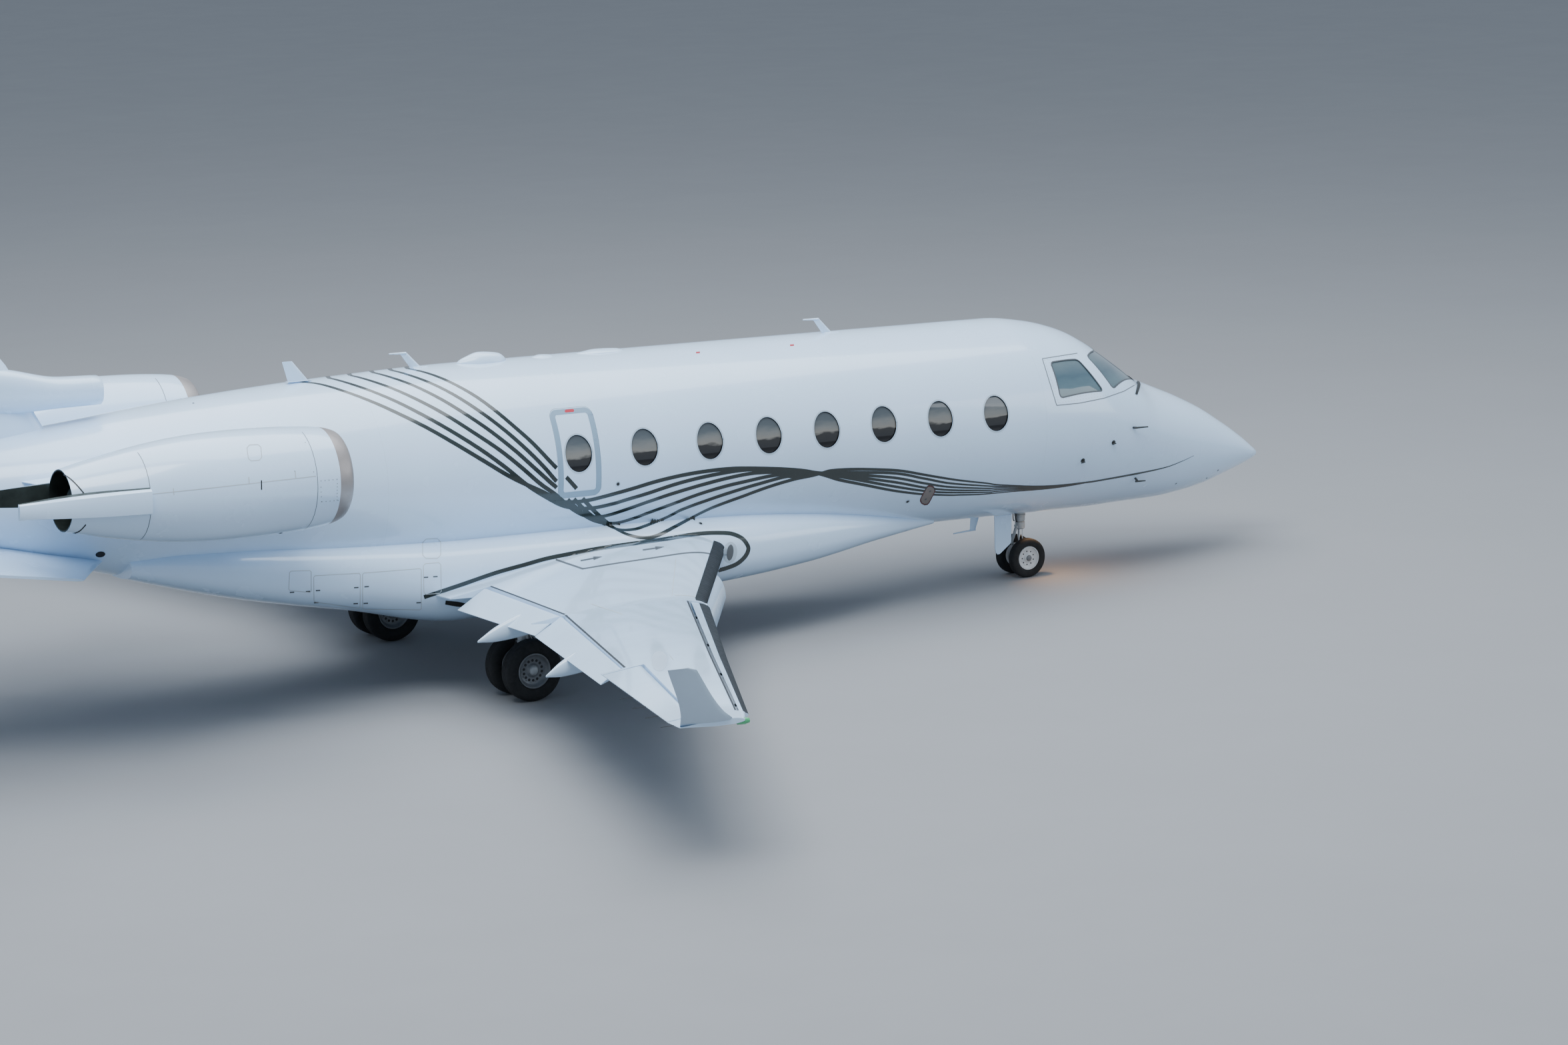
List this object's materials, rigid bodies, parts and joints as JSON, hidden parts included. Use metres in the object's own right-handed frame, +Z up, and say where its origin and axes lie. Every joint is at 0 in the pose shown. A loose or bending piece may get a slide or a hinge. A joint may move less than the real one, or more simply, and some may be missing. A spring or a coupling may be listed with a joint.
{
  "type": "business jet",
  "caption": "Business jet with low swept wings, cruciform tail, rear engine nacelles, hollow cabin with oval windows and steering nose gear, parked with its flaps part lowered.",
  "frame": {"origin": "on the ground, under the centre of the bounding box", "axes": "+X towards the nose, +Y towards the left wing tip, +Z up; the hull leans 2.2 degrees nose down on its wheels"},
  "size_m": [18.9103, 17.686, 6.5324],
  "materials": {
    "white_paint": "glossy white paint",
    "grey_paint": "light grey paint",
    "bare_metal": "satin bare metal",
    "dark_metal": "dark grey satin",
    "tyre_rubber": "matt black rubber",
    "window_glass": "dark tinted pane",
    "cabin_trim": "grey-brown cloth and carpet"
  },
  "bodies": {
    "airframe": {"nose_cone": "white_paint", "cockpit_section": "white_paint", "cabin_section": "white_paint", "rear_fuselage": "white_paint", "belly_fairing": "white_paint", "emergency_exit": "white_paint", "side_window_left": "window_glass", "side_window_right": "window_glass", "windshield_left": "window_glass", "windshield_right": "window_glass", "cabin_glass_left": "window_glass", "cabin_glass_right": "window_glass", "cabin_floor": "cabin_trim", "instrument_panel": "dark_metal", "pilot_seat_left": "cabin_trim", "pilot_seat_right": "cabin_trim", "wing_left": "white_paint", "wing_right": "white_paint", "flap_inboard_left": "white_paint", "flap_inboard_right": "white_paint", "flap_outboard_left": "white_paint", "flap_outboard_right": "white_paint", "slat_left": "dark_metal", "slat_right": "dark_metal", "krueger_left": "grey_paint", "krueger_right": "grey_paint", "fin": "white_paint", "tailplane": "white_paint", "nacelle_left": "white_paint", "nacelle_right": "white_paint", "engine_left": "dark_metal", "engine_right": "dark_metal", "reverser_door_left_outer": "white_paint", "reverser_door_left_inner": "white_paint", "reverser_door_right_outer": "white_paint", "reverser_door_right_inner": "white_paint", "main_gear_leg_left": "bare_metal", "main_gear_leg_right": "bare_metal", "nose_gear_leg": "bare_metal", "nose_gear_door": "white_paint"},
    "entry_door": {"entry_door": "white_paint"},
    "aileron_left": {"aileron_left": "white_paint"},
    "aileron_right": {"aileron_right": "white_paint"},
    "elevator_left": {"elevator_left": "white_paint"},
    "elevator_right": {"elevator_right": "white_paint"},
    "rudder": {"rudder": "white_paint"},
    "fan_left": {"fan_left": "bare_metal"},
    "fan_right": {"fan_right": "bare_metal"},
    "main_wheels_left": {"main_rims_left": "dark_metal", "main_tyre_left_outer": "tyre_rubber", "main_tyre_left_inner": "tyre_rubber"},
    "main_wheels_right": {"main_rims_right": "dark_metal", "main_tyre_right_outer": "tyre_rubber", "main_tyre_right_inner": "tyre_rubber"},
    "nose_fork": {"nose_fork": "bare_metal"},
    "nose_wheels": {"nose_rims": "grey_paint", "nose_tyre_left": "tyre_rubber", "nose_tyre_right": "tyre_rubber"}
  },
  "joints": [
    {"name": "entry_door_hinge", "type": "hinge", "parent": "airframe", "child": "entry_door", "pos_m": [5.06956, 0.78448, 1.11696], "axis": [-0.9993, 0, 0.0384], "range_deg": [0, 115]},
    {"name": "aileron_left_hinge", "type": "hinge", "parent": "airframe", "child": "aileron_left", "pos_m": [-2.61809, 7.2, 1.36284], "axis": [-0.3006, 0.9528, 0.0432], "range_deg": [-20, 20]},
    {"name": "aileron_right_hinge", "type": "hinge", "parent": "airframe", "child": "aileron_right", "pos_m": [-2.61809, -7.2, 1.36284], "axis": [-0.3006, -0.9528, 0.0432], "range_deg": [-20, 20]},
    {"name": "elevator_left_hinge", "type": "hinge", "parent": "airframe", "child": "elevator_left", "pos_m": [-8.66673, 1.795, 5.03716], "axis": [-0.1763, 0.9843, 0.0068], "range_deg": [-15, 25]},
    {"name": "elevator_right_hinge", "type": "hinge", "parent": "airframe", "child": "elevator_right", "pos_m": [-8.66673, -1.795, 5.03716], "axis": [0.1763, 0.9843, -0.0068], "range_deg": [-15, 25]},
    {"name": "rudder_hinge", "type": "hinge", "parent": "airframe", "child": "rudder", "pos_m": [-8.41295, 0, 4.8753], "axis": [0.3651, 0, -0.931], "range_deg": [-25, 25]},
    {"name": "fan_left_spin", "type": "hinge", "parent": "airframe", "child": "fan_left", "pos_m": [-4.14024, 1.85, 2.73169], "axis": [0.9993, 0, -0.0384], "continuous": true},
    {"name": "fan_right_spin", "type": "hinge", "parent": "airframe", "child": "fan_right", "pos_m": [-4.14024, -1.85, 2.73169], "axis": [0.9993, 0, -0.0384], "continuous": true},
    {"name": "main_wheels_left_roll", "type": "hinge", "parent": "airframe", "child": "main_wheels_left", "pos_m": [-1.283, 1.68, 0.33], "axis": [0, 1, 0], "continuous": true},
    {"name": "main_wheels_right_roll", "type": "hinge", "parent": "airframe", "child": "main_wheels_right", "pos_m": [-1.283, -1.68, 0.33], "axis": [0, 1, 0], "continuous": true},
    {"name": "nose_steering", "type": "hinge", "parent": "airframe", "child": "nose_fork", "pos_m": [6.097, 0, 0.5], "axis": [0, 0, 1], "range_deg": [-60, 60]},
    {"name": "nose_wheels_roll", "type": "hinge", "parent": "nose_fork", "child": "nose_wheels", "pos_m": [6.097, 0, 0.2285], "axis": [0, 1, 0], "continuous": true}
  ]
}
